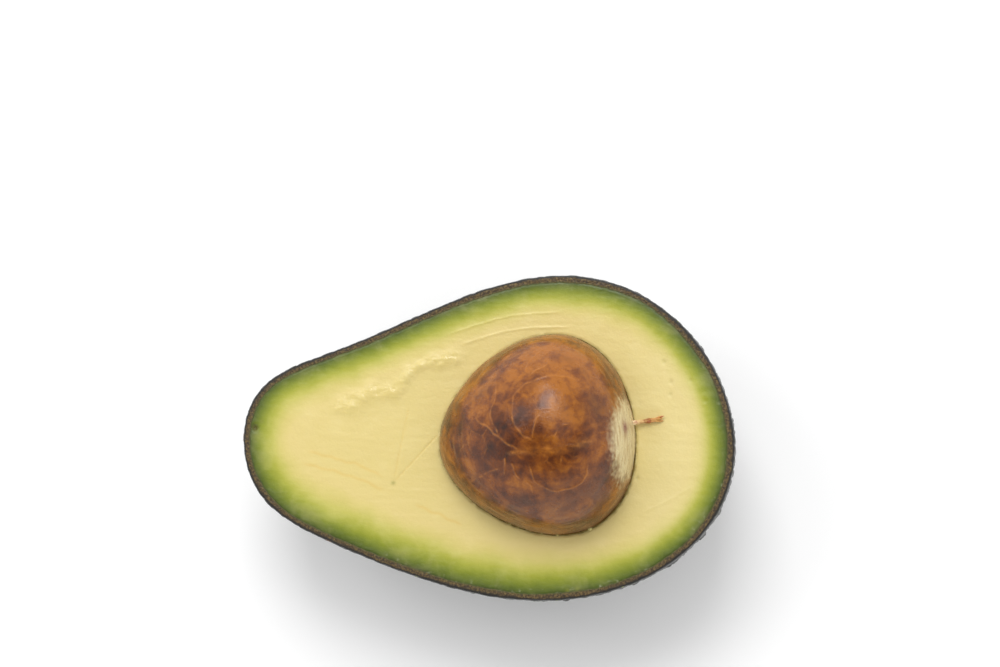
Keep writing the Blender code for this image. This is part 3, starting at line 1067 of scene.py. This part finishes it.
def make_strand():
    start = np.array([STRAND_LOW[0] - 0.9, STRAND_LOW[1] + 0.6, CUT_Z + 1.6])
    end = np.array([STRAND_HIGH[0], STRAND_HIGH[1] - 0.4, CUT_Z + 0.7])
    spine = bend_through([start, start * 0.6 + end * 0.4 + (0, 0, -0.35), end], 0.12)
    all_points, all_faces, along, first = [], [], [], 0
    strands = 7
    for k in range(strands):
        t = np.linspace(0, 1, len(spine))
        turn = 2 * math.pi * k / strands + 2.6 * t
        spread = 0.34 * (1 - 0.55 * np.sin(math.pi * np.clip(t * 1.1, 0, 1))) * (0.6 if k == 0 else 1.0)
        spread = spread + 0.35 * smooth(t, 0.72, 1.0) * (0.5 + lattice(np.array([[k, 1, 2]]), 71)[0])
        offset = np.stack([0 * t, np.cos(turn) * spread, np.sin(turn) * spread * 0.7], axis=1)
        shorten = 1 - 0.16 * lattice(np.array([[k, 5, 9]]), 72)[0]
        keep = t <= shorten
        line = (spine + offset)[keep]
        radii = (0.27 - 0.12 * t + 0.16 * np.exp(-(((t - 0.55) / 0.09) ** 2)))[keep]
        radii = radii * np.clip((shorten - t[keep]) * 8 + 0.25, 0.25, 1)
        points, faces = tube(line, radii, 10, 73 + k)
        all_points.append(points)
        all_faces.append(faces + first)
        along.append(np.clip((points[:, 0] - start[0]) / (end[0] - start[0]), 0, 1))
        first += len(points)
    points = np.concatenate(all_points)
    return make_piece(
        "seed_strand_fibres",
        points,
        np.concatenate(all_faces),
        strand_material(),
        "strand_fibre",
        "seed_strand",
        along=np.concatenate(along),
    )


def make_scar():
    """The stem's corky plug: a low lumpy dome at the narrow end, just under the cut."""
    tip = np.array([-FRUIT_HALF_LENGTH, BEND[-1], CUT_Z - SCAR_BELOW_CUT])
    rings = []
    sides = 90
    turn = -np.arange(sides) / sides * 2 * math.pi
    profile = (
        (-0.1, 0.3),
        (-0.15, 0.7),
        (-0.1, 1.3),
        (0.0, 1.9),
        (0.2, 2.4),
        (0.5, 2.75),
        (0.9, 2.9),
        (1.3, 2.9),
        (1.7, 2.8),
    )
    rings.append(tip[None] + (-0.05, 0, 0))
    for x, radius in profile:
        ring = np.stack([np.full(sides, x), radius * np.cos(turn), radius * np.sin(turn)], axis=1) + tip
        rings.append(ring)
    rings.append(tip[None] + (1.7, 0, 0))
    points = np.concatenate(rings)
    lump = fbm(points, 1.4, 81, 4)
    points[:, 0] -= 0.35 * lump
    points[:, 2] = np.minimum(points[:, 2], CUT_Z - 0.5 + 0.1 * noise(points, 0.7, 82))
    return make_piece("stem_scar_cork", points, shell(rings), scar_material(), "scar_cork", "stem_scar")


# ---------------------------------------------------------------- floor, light and camera

def make_stage():
    bpy.ops.mesh.primitive_plane_add(size=FLOOR_SIZE, location=(0, 0, 0))
    floor = bpy.context.object
    floor.name = "floor"
    g = Graph("floor_white", Specular_IOR_Level=0.0)
    floor.data.materials.append(g.finish(srgb(249, 249, 249), 0.9))
    world = bpy.data.worlds.new("studio")
    world.use_nodes = True
    tree = world.node_tree
    background = tree.nodes["Background"]
    background.inputs["Strength"].default_value = 1.0
    place = tree.nodes.new("ShaderNodeTexCoord")
    split = tree.nodes.new("ShaderNodeSeparateXYZ")
    ramp = tree.nodes.new("ShaderNodeValToRGB")
    ramp.color_ramp.elements[0].position = 0.25
    ramp.color_ramp.elements[0].color = (WORLD_LOW,) * 3 + (1.0,)
    ramp.color_ramp.elements[1].position = 0.85
    ramp.color_ramp.elements[1].color = (WORLD_HIGH,) * 3 + (1.0,)
    tree.links.new(place.outputs["Generated"], split.inputs["Vector"])
    tree.links.new(split.outputs["Z"], ramp.inputs["Fac"])
    tree.links.new(ramp.outputs["Color"], background.inputs["Color"])
    bpy.context.scene.world = world


def make_camera():
    """Looks down on the cut, leaning a little, with the object in the lower half of the picture."""
    back = CAMERA_LEAN
    right = Vector((0, 1, 0)).cross(back).normalized()
    up = back.cross(right)
    tilt = math.atan2(up.x, right.x) + CAMERA_ROLL
    right, up = right * math.cos(tilt) + up * math.sin(tilt), up * math.cos(tilt) - right * math.sin(tilt)
    aim = Vector((0, 0, CUT_Z * MM)) + right * AIM_RIGHT + up * AIM_UP
    data = bpy.data.cameras.new("camera")
    data.lens = CAMERA_LENS
    camera = bpy.data.objects.new("camera", data)
    bpy.context.scene.collection.objects.link(camera)
    spot = aim + back * CAMERA_DISTANCE
    camera.matrix_world = Matrix(
        (
            (right.x, up.x, back.x, spot.x),
            (right.y, up.y, back.y, spot.y),
            (right.z, up.z, back.z, spot.z),
            (0, 0, 0, 1),
        )
    )
    bpy.context.scene.camera = camera
    return right, up, back


def make_light(name, direction, distance, size, watts):
    data = bpy.data.lights.new(name, "AREA")
    data.shape = "SQUARE"
    data.size = size
    data.energy = watts
    lamp = bpy.data.objects.new(name, data)
    bpy.context.scene.collection.objects.link(lamp)
    lamp.location = Vector((0, 0, CUT_Z * MM)) + direction.normalized() * distance
    lamp.rotation_mode = "QUATERNION"
    lamp.rotation_quaternion = direction.to_track_quat("Z", "Y")


make_peel()
make_flesh()
make_crevice_film()
make_seed()
make_strand()
make_scar()
make_stage()
right, up, back = make_camera()
for light_name, toward, distance, size, watts in LIGHTS:
    make_light(light_name, right * toward[0] + up * toward[1] + back * toward[2], distance, size, watts)
bpy.context.scene.view_settings.view_transform = "Standard"
